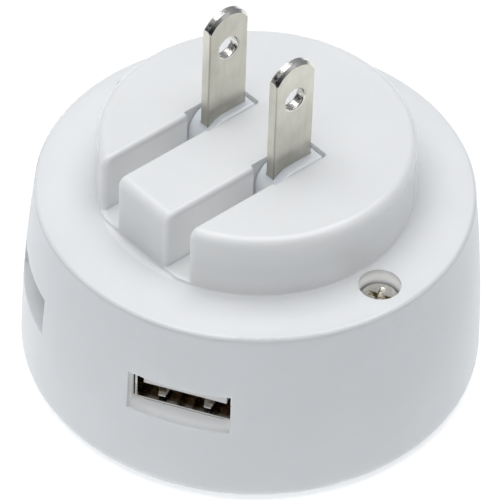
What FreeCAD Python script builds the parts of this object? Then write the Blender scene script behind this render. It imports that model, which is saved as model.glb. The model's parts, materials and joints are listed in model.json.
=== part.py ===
import FreeCAD, Part
import math
import os

import Sketcher
from FreeCAD import Placement, Rotation, Vector

# Round USB wall charger with folding plug blades, lying on its front face with the plug up.
# Origin: centre of the front face. +Z runs from the front face to the blade tips, +X across
# the two blades, and the blades fold down towards -Y. All lengths are in millimetres.

doc = FreeCAD.newDocument("UsbWallCharger")
sheet = doc.addObject("Spreadsheet::Sheet", "Dims")

# The driving dimensions. Levels are heights above the front face.
DIMENSIONS = [
    ("drum_base_radius", 30.15), ("drum_base_fillet", 1.9), ("drum_bow_radius", 215.0),
    ("drum_inner_radius", 27.3), ("drum_floor", 2.2), ("seam_level", 26.35),
    ("rim_radius", 28.4), ("rim_fillet", 0.5), ("ring_level", 27.0),
    ("cover_lip_radius", 27.15), ("cover_under_level", 24.8),
    ("boss_radius", 20.5), ("boss_level", 36.1), ("boss_flat_y", -19.24),
    ("boss_fillet", 1.3), ("boss_foot_fillet", 0.3), ("boss_inner_radius", 18.5),
    ("boss_inner_level", 34.1), ("boss_inner_flat_y", -17.4),
    ("slot_inner_x", 4.78), ("slot_outer_x", 8.15), ("slot_floor_level", 27.5),
    ("slot_edge_fillet", 0.6), ("slot_wall", 1.4), ("slot_floor_thickness", 1.6),
    ("lobe_pocket_inner_x", 4.14), ("lobe_pocket_outer_x", 8.85),
    ("lobe_pocket_near_y", -4.75), ("lobe_pocket_far_y", 4.05),
    ("pocket_corner_fillet", 0.55),
    ("hinge_y", -0.3), ("hinge_level", 31.95), ("barrel_radius", 4.0),
    ("barrel_corner_y", 4.0), ("barrel_corner_fillet", 0.5), ("barrel_top_level", 36.0),
    ("barrel_front_radius", 3.2), ("lobe_edge_fillet", 0.45), ("lobe_clearance", 0.22),
    ("shaft_radius", 2.4), ("shaft_flat", 2.1), ("trunnion_radius", 1.7),
    ("trunnion_bay_radius", 1.76), ("trunnion_end_x", 12.0), ("shaft_bay_radius", 2.75),
    ("cradle_half_x", 12.8), ("cradle_half_y", 6.0), ("cradle_under_level", 28.0),
    ("blade_centre_x", 6.35), ("blade_width", 6.35), ("blade_thickness", 1.5),
    ("blade_shoulder_level", 50.75), ("blade_tip_radius", 3.755), ("blade_edge_fillet", 0.25),
    ("blade_tip_chamfer", 0.38), ("blade_hole_radius", 1.55), ("blade_hole_level", 46.8),
    ("blade_hole_fillet", 0.3), ("blade_root_depth", 1.0), ("tail_half_width", 1.2),
    ("tail_depth", 3.75),
    ("screw_x", 23.83), ("recess_radius", 2.73), ("recess_floor_level", 23.4),
    ("well_outer_radius", 3.3), ("well_under_level", 22.3), ("screw_hole_radius", 1.5),
    ("case_screw_head_radius", 2.45), ("case_screw_head_level", 25.05),
    ("case_screw_head_fillet", 0.3), ("case_screw_radius", 1.3),
    ("case_screw_end_level", 12.5),
    ("cross_reach", 1.65), ("cross_width", 0.8), ("cross_depth", 1.3), ("cross_taper", 0.8),
    ("post_radius", 3.6), ("post_top_level", 22.2), ("post_hole_radius", 1.36),
    ("post_hole_floor", 6.0),
    ("port_level", 14.5), ("port_window_width", 13.7), ("port_window_height", 5.84),
    ("port_window_fillet", 0.15), ("port_front", 26.8), ("port_inner_cut", 24.0),
    ("port_collar_rim", 1.2), ("port_collar_depth", 0.9),
    ("socket_shell_width", 13.1), ("socket_shell_height", 5.72), ("socket_shell_wall", 0.3),
    ("socket_length", 13.3), ("tongue_width", 11.1), ("tongue_thickness", 1.84),
    ("tongue_recess", 0.5), ("tongue_rise", 0.37), ("tongue_block_length", 3.4),
    ("contact_width", 1.0), ("contact_thickness", 0.2), ("contact_recess", 0.8),
    ("spring_width", 1.5), ("spring_tip_width", 0.95), ("spring_spacing", 6.1),
    ("spring_length", 6.5), ("spring_crest_run", 1.5), ("spring_crest_rise", 0.75),
    ("spring_tip_run", 0.35), ("spring_tip_rise", 0.5), ("spring_thickness", 0.2),
    ("board_level", 9.9), ("board_thickness", 1.6), ("board_radius", 26.6),
    ("board_notch_radius", 3.9), ("standoff_radius", 1.6), ("standoff_ring", 20.0),
    ("retainer_half_x", 17.3), ("retainer_half_y", 4.5), ("retainer_under_level", 24.95),
    ("retainer_top_level", 27.1), ("retainer_screw_x", 15.0), ("saddle_half_y", 1.6),
    ("saddle_inner_x", 9.1), ("saddle_outer_x", 11.8), ("anchor_radius", 2.5),
    ("retainer_screw_radius", 0.9), ("retainer_screw_head", 1.9),
    ("retainer_screw_head_height", 1.0), ("retainer_screw_grip", 4.0),
    ("strip_width", 5.0), ("strip_thickness", 0.3), ("strip_foot_y", 4.2),
    ("strip_bend_y", 2.8), ("strip_crown_y", 1.0), ("strip_mitre", 0.14),
    ("strip_gap", 0.15),
    ("leaf_half_width", 1.2), ("leaf_near_y", -2.1), ("leaf_far_y", 9.6),
    ("leaf_thickness", 0.4), ("leaf_gap", 0.05), ("dimple_radius", 0.5), ("dimple_rise", 0.2),
    ("transformer_x", 19.0), ("transformer_y", 15.6), ("transformer_level", 23.3),
    ("core_lift", 1.2), ("core_bar", 2.4), ("core_half_depth", 3.0),
    ("bobbin_half_x", 6.9), ("bobbin_wall", 0.8), ("bobbin_fit", 0.05), ("bobbin_foot", 2.2),
    ("winding_half_x", 6.5), ("winding_inset", 0.6),
    ("choke_x", -17.4), ("choke_y", 7.6), ("choke_radius", 3.0), ("choke_waist_radius", 2.2),
    ("choke_height", 7.0), ("choke_flange", 1.0), ("choke_coil_radius", 2.9),
    ("fuse_x", 17.4), ("fuse_y", 7.4), ("fuse_radius", 2.6), ("fuse_height", 8.0),
    ("safety_y", 12.8), ("safety_radius", 3.6), ("safety_thickness", 3.0),
    ("rectifier_half_x", 4.2), ("rectifier_half_y", 3.2), ("rectifier_height", 3.3),
    ("chip_inner_x", 9.0), ("chip_outer_x", 14.0), ("chip_near_y", -8.0),
    ("chip_far_y", -4.0), ("chip_height", 1.5),
    ("can_fillet", 0.6), ("fuse_fillet", 0.4), ("safety_fillet", 0.8),
]
for row, (alias, value) in enumerate(DIMENSIONS, start=1):
    sheet.set(f"A{row}", alias)
    sheet.set(f"B{row}", str(value))
    sheet.setAlias(f"B{row}", alias)
doc.recompute()

PORT_AZIMUTHS = (-60.0, -120.0, 120.0, 60.0)
SIDES = (("left", -1), ("right", 1))
# How far round each case screw's cross was left, left screw first, in degrees.
CROSS_TURNS = (61, 24.5)
# Spacing of the four contacts of a USB-A socket, from its middle.
PIN_OFFSETS = ("-3.5", "-1.0", "1.0", "3.5")
# Upright cans on the board: sub-part name, radius, x, y and height.
STANDING_CANS = [
    ("input_capacitor_1", 4.0, 15.2, 0.0, 11.6),
    ("input_capacitor_2", 4.0, -15.2, 0.0, 11.6),
    ("output_capacitor_1", 3.15, 17.6, -7.7, 10.5),
    ("output_capacitor_2", 3.15, -17.6, -7.7, 10.5),
]
BOARD_TOP = "Dims.board_level + Dims.board_thickness"
# How far a cutting tool stands proud of the face it cuts.
OVERCUT = "0.5"
sub_parts = []


def size(expression):
    """Value of a sheet expression, such as "Dims.ring_level - 2"."""
    value = sheet.evalExpression(expression)
    return float(getattr(value, "Value", value))


def keep(item, label):
    """Name a finished sub-part after its node and list it for export."""
    item.Label = label
    sub_parts.append(item)
    return item


# ---------------------------------------------------------------- sketch helpers

def new_body(name):
    return doc.addObject("PartDesign::Body", name)


def origin_plane(body, role):
    return next(f for f in body.Origin.OriginFeatures if f.Role == role)


def new_sketch(body, name, role="XY_Plane", level="0", turn=None):
    """Sketch on an origin plane of its body, lifted along the plane's normal by a level."""
    sketch = body.newObject("Sketcher::SketchObject", name)
    sketch.AttachmentSupport = [(origin_plane(body, role), "")]
    sketch.MapMode = "FlatFace"
    if turn is not None:
        sketch.AttachmentOffset = Placement(Vector(0, 0, 0), turn)
    sketch.setExpression("AttachmentOffset.Base.z", level)
    return sketch


def pin(sketch, geometry, point, x, y):
    """Bind one point of a sketch to sheet expressions, measured from the sketch origin."""
    for kind, expression in (("DistanceX", x), ("DistanceY", y)):
        index = sketch.addConstraint(
            Sketcher.Constraint(kind, -1, 1, geometry, point, size(expression)))
        sketch.setExpression(f"Constraints[{index}]", expression)


def outline(sketch, corners, arcs=None):
    """Closed outline through corners given as expression pairs.

    arcs maps the number of a side to the expression of its radius: a positive radius
    bulges to the right of the way the outline runs, a negative one to the left.
    """
    arcs = arcs or {}
    first = sketch.GeometryCount
    points = [Vector(size(x), size(y), 0) for x, y in corners]
    count = len(points)
    for side in range(count):
        a, b = points[side], points[(side + 1) % count]
        if side in arcs:
            radius = size(arcs[side])
            chord = b - a
            right = Vector(chord.y, -chord.x, 0).normalize()
            if radius < 0:
                right = -right
            sag = abs(radius) - math.sqrt(radius ** 2 - (chord.Length / 2) ** 2)
            middle = (a + b) / 2 + right * sag
            sketch.addGeometry(Part.Arc(a, middle, b), False)
        else:
            sketch.addGeometry(Part.LineSegment(a, b), False)
    ends = []
    for side in range(count):
        start = sketch.Geometry[first + side].StartPoint
        ends.append((1, 2) if (start - points[side]).Length < 1e-6 else (2, 1))
    for side in range(count):
        following = (side + 1) % count
        sketch.addConstraint(Sketcher.Constraint(
            "Coincident", first + side, ends[side][1], first + following, ends[following][0]))
    for side, (x, y) in enumerate(corners):
        pin(sketch, first + side, ends[side][0], x, y)
    for side, expression in arcs.items():
        index = sketch.addConstraint(
            Sketcher.Constraint("Radius", first + side, abs(size(expression))))
        sketch.setExpression(f"Constraints[{index}]", f"abs({expression})")


def rectangle(sketch, x0, x1, y0, y1):
    low, high = sorted((x0, x1), key=size)
    outline(sketch, [(low, y0), (high, y0), (high, y1), (low, y1)])


def circle(sketch, radius, x="0", y="0"):
    """Circle bound to sheet expressions for its centre and radius."""
    index = sketch.addGeometry(
        Part.Circle(Vector(size(x), size(y), 0), Vector(0, 0, 1), size(radius)), False)
    pin(sketch, index, 3, x, y)
    constraint = sketch.addConstraint(Sketcher.Constraint("Radius", index, size(radius)))
    sketch.setExpression(f"Constraints[{constraint}]", radius)


def pad(body, sketch, length, reverse=False, midplane=False):
    feature = body.newObject("PartDesign::Pad", sketch.Name + "Pad")
    feature.Profile = sketch
    feature.setExpression("Length", length)
    feature.Reversed = reverse
    feature.Midplane = midplane
    return feature


def pocket(body, sketch, length, reverse=False, midplane=False):
    """Cut a sketch out of its body, and check that it did take material away."""
    doc.recompute()
    before = body.Shape.Volume
    feature = body.newObject("PartDesign::Pocket", sketch.Name + "Cut")
    feature.Profile = sketch
    feature.setExpression("Length", length)
    feature.Reversed = reverse
    feature.Midplane = midplane
    doc.recompute()
    if body.Shape.Volume > before - 0.01:
        raise RuntimeError(f"{feature.Name} cuts nothing")
    return feature


def revolve(body, sketch):
    feature = body.newObject("PartDesign::Revolution", sketch.Name + "Turn")
    feature.Profile = sketch
    feature.ReferenceAxis = (sketch, ["V_Axis"])
    feature.Angle = 360.0
    return feature


def round_edges(body, name, radius, chosen, kind="Fillet"):
    """Fillet or chamfer the edges of the body's present shape that chosen() picks."""
    doc.recompute()
    base = body.Tip
    names = [f"Edge{n}" for n, edge in enumerate(base.Shape.Edges, start=1) if chosen(edge)]
    if not names:
        raise RuntimeError(f"{name} finds no edges")
    feature = body.newObject(f"PartDesign::{kind}", name)
    feature.Base = (base, names)
    feature.setExpression("Radius" if kind == "Fillet" else "Size", radius)
    doc.recompute()
    if "Invalid" in feature.State or not feature.Shape.isValid():
        raise RuntimeError(f"{name} fails on {len(names)} edges")
    return feature


def at_level(edge, level, tolerance=0.01):
    box = edge.BoundBox
    return abs(box.ZMin - level) < tolerance and abs(box.ZMax - level) < tolerance


def is_circle(edge, radius=None):
    curve = edge.Curve
    return isinstance(curve, Part.Circle) and (
        radius is None or abs(curve.Radius - radius) < 0.01)


def port_plane(azimuth):
    """Turns the ground plane to face outwards along a port: X across it, Y up."""
    out = Vector(math.cos(math.radians(azimuth)), math.sin(math.radians(azimuth)), 0)
    up = Vector(0, 0, 1)
    return Rotation(up.cross(out), up, out, "ZXY")


# ---------------------------------------------------------------- part helpers

def block(name, x0, x1, y0, y1, z0, z1):
    """Box between sheet expressions."""
    item = doc.addObject("Part::Box", name)
    for side, low, high in (("Length", x0, x1), ("Width", y0, y1), ("Height", z0, z1)):
        item.setExpression(side, f"({high}) - ({low})")
    for axis, low in (("x", x0), ("y", y0), ("z", z0)):
        item.setExpression(f"Placement.Base.{axis}", low)
    return item


def cylinder(name, radius, x, y, z0, z1):
    item = doc.addObject("Part::Cylinder", name)
    item.setExpression("Radius", radius)
    item.setExpression("Height", f"({z1}) - ({z0})")
    for axis, low in (("x", x), ("y", y), ("z", z0)):
        item.setExpression(f"Placement.Base.{axis}", low)
    return item


def fuse(name, items):
    item = doc.addObject("Part::MultiFuse", name)
    item.Shapes = items
    return item


def cut(name, base, tool):
    item = doc.addObject("Part::Cut", name)
    item.Base = base
    item.Tool = tool
    return item


def soften(name, base, radius, chosen):
    """Part fillet of the edges that chosen() picks on a part object."""
    doc.recompute()
    item = doc.addObject("Part::Fillet", name)
    item.Base = base
    item.Edges = [(n, radius, radius)
                  for n, edge in enumerate(base.Shape.Edges, start=1) if chosen(edge)]
    return item


# ---------------------------------------------------------------- housing

def port_sketch(body, name, azimuth, distance):
    """Sketch that faces out along a port, at a distance from the drum's axis."""
    sketch = new_sketch(body, name, turn=port_plane(azimuth))
    for axis, spread in (("x", math.cos), ("y", math.sin)):
        sketch.setExpression(f"AttachmentOffset.Base.{axis}",
                             f"{distance} * {spread(math.radians(azimuth)):.10f}")
    return sketch


def make_housing():
    """Cup-shaped drum: front face, bowed side wall, four port windows and two screw posts."""
    body = new_body("HousingBody")
    section = new_sketch(body, "DrumSection", "XZ_Plane")
    outline(section, [
        ("0", "0"), ("Dims.drum_base_radius", "0"), ("Dims.rim_radius", "Dims.seam_level"),
        ("Dims.drum_inner_radius", "Dims.seam_level"),
        ("Dims.drum_inner_radius", "Dims.drum_floor"), ("0", "Dims.drum_floor"),
    ], arcs={1: "Dims.drum_bow_radius"})
    revolve(body, section)
    round_edges(body, "DrumBaseFillet", "Dims.drum_base_fillet",
                lambda edge: at_level(edge, 0) and is_circle(edge))

    posts = new_sketch(body, "PostOutlines", level="Dims.drum_floor - 0.5")
    circle(posts, "Dims.post_radius", "Dims.screw_x")
    circle(posts, "Dims.post_radius", "-Dims.screw_x")
    pad(body, posts, "Dims.post_top_level - Dims.drum_floor + 0.5")

    standoffs = new_sketch(body, "StandoffOutlines", level="Dims.drum_floor - 0.5")
    for turn in (45, 135, 225, 315):
        circle(standoffs, "Dims.standoff_radius",
               f"Dims.standoff_ring * cos({turn} deg)", f"Dims.standoff_ring * sin({turn} deg)")
    pad(body, standoffs, "Dims.board_level - Dims.drum_floor + 0.5")

    holes = new_sketch(body, "PostHoles", level="Dims.post_top_level")
    circle(holes, "Dims.post_hole_radius", "Dims.screw_x")
    circle(holes, "Dims.post_hole_radius", "-Dims.screw_x")
    pocket(body, holes, "Dims.post_top_level - Dims.post_hole_floor")

    half = "Dims.port_window_width / 2"
    rise = "Dims.port_window_height / 2"
    rim = "Dims.port_collar_rim"
    for number, azimuth in enumerate(PORT_AZIMUTHS, start=1):
        collar = port_sketch(body, f"PortCollar{number}", azimuth, "Dims.port_front")
        rectangle(collar, f"-{half} - {rim}", f"{half} + {rim}",
                  f"Dims.port_level - {rise} - {rim}", f"Dims.port_level + {rise} + {rim}")
        pad(body, collar, "Dims.port_collar_depth")
    for number, azimuth in enumerate(PORT_AZIMUTHS, start=1):
        window = port_sketch(body, f"PortWindow{number}", azimuth, "Dims.port_inner_cut")
        rectangle(window, f"-{half}", half, f"Dims.port_level - {rise}",
                  f"Dims.port_level + {rise}")
        pocket(body, window, "12", reverse=True)
    radius = size("Dims.rim_radius")
    low = size("Dims.port_level - Dims.port_window_height")
    high = size("Dims.port_level + Dims.port_window_height")

    def on_window_mouth(edge):
        box = edge.BoundBox
        middle = edge.valueAt((edge.FirstParameter + edge.LastParameter) / 2)
        return (low < box.ZMin and box.ZMax < high
                and math.hypot(middle.x, middle.y) > radius + 0.2)

    round_edges(body, "WindowMouthFillet", "Dims.port_window_fillet", on_window_mouth)
    return keep(body, "housing")


# ---------------------------------------------------------------- rear cover

def make_rear_cover():
    """Ring-shaped rear face with the raised boss that the folding plug lives in."""
    body = new_body("RearCoverBody")
    section = new_sketch(body, "CoverSection", "XZ_Plane")
    outline(section, [
        ("0", "Dims.cover_under_level"), ("Dims.cover_lip_radius", "Dims.cover_under_level"),
        ("Dims.cover_lip_radius", "Dims.seam_level"), ("Dims.rim_radius", "Dims.seam_level"),
        ("Dims.rim_radius", "Dims.ring_level"), ("Dims.boss_radius", "Dims.ring_level"),
        ("Dims.boss_radius", "Dims.boss_level"), ("0", "Dims.boss_level"),
    ])
    revolve(body, section)

    hollow = new_sketch(body, "BossHollow", level="Dims.cover_under_level")
    reach = "sqrt(Dims.boss_inner_radius ^ 2 - Dims.boss_inner_flat_y ^ 2)"
    outline(hollow, [
        (reach, "Dims.boss_inner_flat_y"), ("Dims.boss_inner_radius", "0"),
        ("-Dims.boss_inner_radius", "0"), (f"-{reach}", "Dims.boss_inner_flat_y"),
    ], arcs={0: "Dims.boss_inner_radius", 1: "Dims.boss_inner_radius * 1.000001",
             2: "Dims.boss_inner_radius"})
    pocket(body, hollow, "Dims.boss_inner_level - Dims.cover_under_level", reverse=True)

    flat = new_sketch(body, "BossFlat", level="Dims.boss_level")
    rectangle(flat, "-12", "12", "-Dims.boss_radius - 2", "Dims.boss_flat_y")
    pocket(body, flat, "Dims.boss_level - Dims.ring_level")
    flat_y = size("Dims.boss_flat_y")

    def on_boss_rim(edge):
        box = edge.BoundBox
        flat_front = abs(box.YMin - flat_y) < 0.01 and abs(box.YMax - flat_y) < 0.01
        rim = is_circle(edge, size("Dims.boss_radius"))
        return at_level(edge, size("Dims.boss_level")) and (flat_front or rim)

    def on_boss_foot(edge):
        box = edge.BoundBox
        flat_front = abs(box.YMin - flat_y) < 0.01 and abs(box.YMax - flat_y) < 0.01
        rim = is_circle(edge, size("Dims.boss_radius"))
        return at_level(edge, size("Dims.ring_level")) and (flat_front or rim)

    round_edges(body, "BossTopFillet", "Dims.boss_fillet", on_boss_rim)
    round_edges(body, "BossFootFillet", "Dims.boss_foot_fillet", on_boss_foot)

    cradle = new_sketch(body, "CradleBlock", level="Dims.cradle_under_level")
    rectangle(cradle, "-Dims.cradle_half_x", "Dims.cradle_half_x",
              "-Dims.cradle_half_y", "Dims.cradle_half_y - 0.7")
    pad(body, cradle, "Dims.boss_inner_level - Dims.cradle_under_level + 0.5")

    channels = new_sketch(body, "SlotChannels",
                          level="Dims.slot_floor_level - Dims.slot_floor_thickness")
    anchors = new_sketch(body, "RetainerAnchors", level="Dims.retainer_top_level")
    for _, side in SIDES:
        inner = f"{side} * (Dims.slot_inner_x - Dims.slot_wall)"
        outer = f"{side} * (Dims.slot_outer_x + Dims.slot_wall)"
        rectangle(channels, inner, outer, "Dims.boss_inner_flat_y - 0.6",
                  "-Dims.cradle_half_y + 0.4")
        circle(anchors, "Dims.anchor_radius", f"{side} * Dims.retainer_screw_x", "Dims.hinge_y")
    pad(body, channels,
        "Dims.boss_inner_level - Dims.slot_floor_level + Dims.slot_floor_thickness + 0.5")
    pad(body, anchors, "Dims.boss_inner_level - Dims.retainer_top_level + 0.5")

    wells = new_sketch(body, "ScrewWells", level="Dims.well_under_level")
    for _, side in SIDES:
        circle(wells, "Dims.well_outer_radius", f"{side} * Dims.screw_x")
    pad(body, wells, "Dims.cover_under_level - Dims.well_under_level + 0.5")

    slots = new_sketch(body, "BladeSlots", level="Dims.boss_level")
    pockets = new_sketch(body, "LobePockets", level="Dims.boss_level")
    recesses = new_sketch(body, "ScrewRecesses", level="Dims.ring_level")
    shanks = new_sketch(body, "ScrewHoles", level="Dims.recess_floor_level")
    pilots = new_sketch(body, "RetainerPilots", level="Dims.retainer_top_level")
    for _, side in SIDES:
        rectangle(slots, f"{side} * Dims.slot_inner_x", f"{side} * Dims.slot_outer_x",
                  "-Dims.boss_radius - 2", "Dims.lobe_pocket_near_y + 1")
        rectangle(pockets, f"{side} * Dims.lobe_pocket_inner_x",
                  f"{side} * Dims.lobe_pocket_outer_x",
                  "Dims.lobe_pocket_near_y", "Dims.lobe_pocket_far_y")
        circle(recesses, "Dims.recess_radius", f"{side} * Dims.screw_x")
        circle(shanks, "Dims.screw_hole_radius", f"{side} * Dims.screw_x")
        circle(pilots, "Dims.retainer_screw_radius + 0.05",
               f"{side} * Dims.retainer_screw_x", "Dims.hinge_y")
    pocket(body, slots, "Dims.boss_level - Dims.slot_floor_level")
    pocket(body, pockets, "Dims.boss_level - Dims.cover_under_level")
    pocket(body, recesses, "Dims.ring_level - Dims.recess_floor_level")
    pocket(body, shanks, "3")
    pocket(body, pilots, "5", reverse=True)

    for name, radius, reach in (
            ("TrunnionBay", "Dims.trunnion_bay_radius", "Dims.trunnion_end_x + 0.15"),
            ("ShaftBay", "Dims.shaft_bay_radius", "Dims.lobe_pocket_inner_x + 0.5")):
        bay = new_sketch(body, name, "YZ_Plane")
        outline(bay, [
            (f"Dims.hinge_y - {radius}", "Dims.retainer_under_level"),
            (f"Dims.hinge_y + {radius}", "Dims.retainer_under_level"),
            (f"Dims.hinge_y + {radius}", "Dims.hinge_level"),
            (f"Dims.hinge_y - {radius}", "Dims.hinge_level"),
        ], arcs={2: f"{radius} * 1.000001"})
        pocket(body, bay, f"2 * ({reach})", midplane=True)

    walls = [side * size(f"Dims.{name}") for name in ("slot_inner_x", "slot_outer_x")
             for side in (-1, 1)]

    def on_slot_edge(edge):
        """The slot's long top edges, and their run down the front of the boss."""
        box = edge.BoundBox
        flush = box.XLength < 0.01 and any(abs(box.XMin - wall) < 0.01 for wall in walls)
        front = box.YMax < size("Dims.boss_flat_y") + 2
        top = box.ZMin > size("Dims.boss_level") - 0.01
        return (flush and box.YMax < size("Dims.lobe_pocket_near_y") + 0.01
                and box.ZMax > size("Dims.slot_floor_level") + 2 and (top or front))

    def on_pocket_corner(edge):
        box = edge.BoundBox
        return (box.XLength < 0.01 and box.YLength < 0.01
                and abs(box.YMin - size("Dims.lobe_pocket_far_y")) < 0.01
                and at_top(box))

    def at_top(box):
        return abs(box.ZMax - size("Dims.boss_level")) < 0.01

    round_edges(body, "SlotEdgeFillet", "Dims.slot_edge_fillet", on_slot_edge)
    round_edges(body, "PocketCornerFillet", "Dims.pocket_corner_fillet", on_pocket_corner)
    round_edges(body, "RimFillet", "Dims.rim_fillet",
                lambda edge: at_level(edge, size("Dims.ring_level"))
                and is_circle(edge, size("Dims.rim_radius")))
    return keep(body, "rear_cover")


# ---------------------------------------------------------------- folding plug

def make_plug_barrel():
    """Swivelling barrel: two lobes with a squared corner, two trunnions, and between the
    lobes a thin shaft with a flat below and a flat behind for the detent."""
    body = new_body("PlugBarrelBody")
    section = new_sketch(body, "LobeSection", "YZ_Plane")
    top = "Dims.barrel_top_level"
    near = "Dims.hinge_y - Dims.barrel_radius"
    far = "Dims.hinge_y + Dims.barrel_corner_y"
    outline(section, [
        (f"{near} + Dims.barrel_front_radius", top),
        (near, f"{top} - Dims.barrel_front_radius"),
        (near, "Dims.hinge_level"),
        ("Dims.hinge_y", "Dims.hinge_level - Dims.barrel_radius"),
        (far, "Dims.hinge_level"),
        (far, top),
    ], arcs={0: "Dims.barrel_front_radius", 2: "Dims.barrel_radius", 3: "Dims.barrel_radius"})
    pad(body, section, "2 * (Dims.lobe_pocket_outer_x - Dims.lobe_clearance)", midplane=True)

    neck = new_sketch(body, "ShaftNeck", "YZ_Plane")
    circle(neck, "Dims.barrel_radius * 3", "Dims.hinge_y", "Dims.hinge_level")
    flat = "Dims.shaft_flat"
    around = "sqrt(Dims.shaft_radius ^ 2 - Dims.shaft_flat ^ 2)"
    radius = "Dims.shaft_radius"
    outline(neck, [
        (f"Dims.hinge_y + {around}", f"Dims.hinge_level - {flat}"),
        (f"Dims.hinge_y + {flat}", f"Dims.hinge_level - {around}"),
        (f"Dims.hinge_y + {flat}", f"Dims.hinge_level + {around}"),
        (f"Dims.hinge_y - {radius}", "Dims.hinge_level"),
        (f"Dims.hinge_y - {around}", f"Dims.hinge_level - {flat}"),
    ], arcs={0: radius, 2: radius, 3: radius})
    pocket(body, neck, "2 * (Dims.lobe_pocket_inner_x + Dims.lobe_clearance)", midplane=True)
    high = size(top)
    round_edges(body, "LobeCornerFillet", "Dims.barrel_corner_fillet",
                lambda edge: at_level(edge, high)
                and abs(edge.BoundBox.YMin - size(far)) < 0.01 and edge.BoundBox.YLength < 0.01)
    ends = [size("Dims.lobe_pocket_inner_x + Dims.lobe_clearance"),
            size("Dims.lobe_pocket_outer_x - Dims.lobe_clearance")]

    def on_lobe_rim(edge):
        """The outline of each lobe's two end faces."""
        box = edge.BoundBox
        reach = size("Dims.shaft_radius") + 0.1
        middle = edge.valueAt((edge.FirstParameter + edge.LastParameter) / 2)
        away = math.hypot(middle.y - size("Dims.hinge_y"), middle.z - size("Dims.hinge_level"))
        return (box.XLength < 0.01 and away > reach
                and any(abs(abs(box.XMin) - end) < 0.01 for end in ends))

    round_edges(body, "LobeRimFillet", "Dims.lobe_edge_fillet", on_lobe_rim)

    for name, side in SIDES:
        trunnion = new_sketch(body, f"Trunnion{name.title()}", "YZ_Plane",
                              f"{side} * (Dims.lobe_pocket_outer_x - Dims.lobe_clearance - 0.5)")
        circle(trunnion, "Dims.trunnion_radius", "Dims.hinge_y", "Dims.hinge_level")
        pad(body, trunnion,
            "Dims.trunnion_end_x - Dims.lobe_pocket_outer_x + Dims.lobe_clearance + 0.5",
            reverse=side < 0)

    seats = new_sketch(body, "BladeSeats", level=top)
    tails = new_sketch(body, "TailSeats", level="Dims.hinge_level")
    for _, side in SIDES:
        inner = f"{side} * (Dims.blade_centre_x - Dims.blade_thickness / 2)"
        outer = f"{side} * (Dims.blade_centre_x + Dims.blade_thickness / 2)"
        rectangle(seats, inner, outer, "Dims.hinge_y - Dims.blade_width / 2",
                       "Dims.hinge_y + Dims.blade_width / 2")
        rectangle(tails, inner, outer, "Dims.hinge_y - Dims.tail_half_width",
                       "Dims.hinge_y + Dims.tail_half_width")
    pocket(body, seats, f"{top} - Dims.hinge_level + Dims.blade_root_depth")
    pocket(body, tails, "Dims.barrel_radius + 1")
    return keep(body, "plug_barrel")


def make_blade(name, side):
    """Flat plug blade with a domed, bevelled tip, a hole and a narrow tail."""
    body = new_body(f"Blade{name.title()}Body")
    centre = f"{side} * Dims.blade_centre_x"
    face = new_sketch(body, f"Blade{name.title()}Face", "YZ_Plane", centre)
    half = "Dims.blade_width / 2"
    root = "Dims.hinge_level - Dims.blade_root_depth"
    outline(face, [
        (f"Dims.hinge_y - {half}", root),
        ("Dims.hinge_y - Dims.tail_half_width", root),
        ("Dims.hinge_y - Dims.tail_half_width", "Dims.hinge_level - Dims.tail_depth"),
        ("Dims.hinge_y + Dims.tail_half_width", "Dims.hinge_level - Dims.tail_depth"),
        ("Dims.hinge_y + Dims.tail_half_width", root),
        (f"Dims.hinge_y + {half}", root),
        (f"Dims.hinge_y + {half}", "Dims.blade_shoulder_level"),
        (f"Dims.hinge_y - {half}", "Dims.blade_shoulder_level"),
    ], arcs={6: "Dims.blade_tip_radius"})
    pad(body, face, "Dims.blade_thickness", midplane=True)
    hole = new_sketch(body, f"Blade{name.title()}Hole", "YZ_Plane", centre)
    circle(hole, "Dims.blade_hole_radius", "Dims.hinge_y", "Dims.blade_hole_level")
    pocket(body, hole, "Dims.blade_thickness * 2", midplane=True)

    shoulder = size("Dims.blade_shoulder_level")
    barrel_top = size("Dims.barrel_top_level")

    def on_tip(edge):
        box = edge.BoundBox
        return box.ZMin > shoulder - 0.01 and box.XLength < 0.01

    def on_hole(edge):
        return is_circle(edge, size("Dims.blade_hole_radius"))

    def on_long_edge(edge):
        box = edge.BoundBox
        return (box.ZLength > 5 and box.XLength < 0.01 and box.YLength < 0.01
                and box.ZMax > barrel_top)

    round_edges(body, f"Blade{name.title()}TipBevel", "Dims.blade_tip_chamfer", on_tip, "Chamfer")
    round_edges(body, f"Blade{name.title()}HoleRound", "Dims.blade_hole_fillet", on_hole)
    round_edges(body, f"Blade{name.title()}EdgeFillet", "Dims.blade_edge_fillet", on_long_edge)
    return keep(body, f"blade_{name}")


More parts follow.
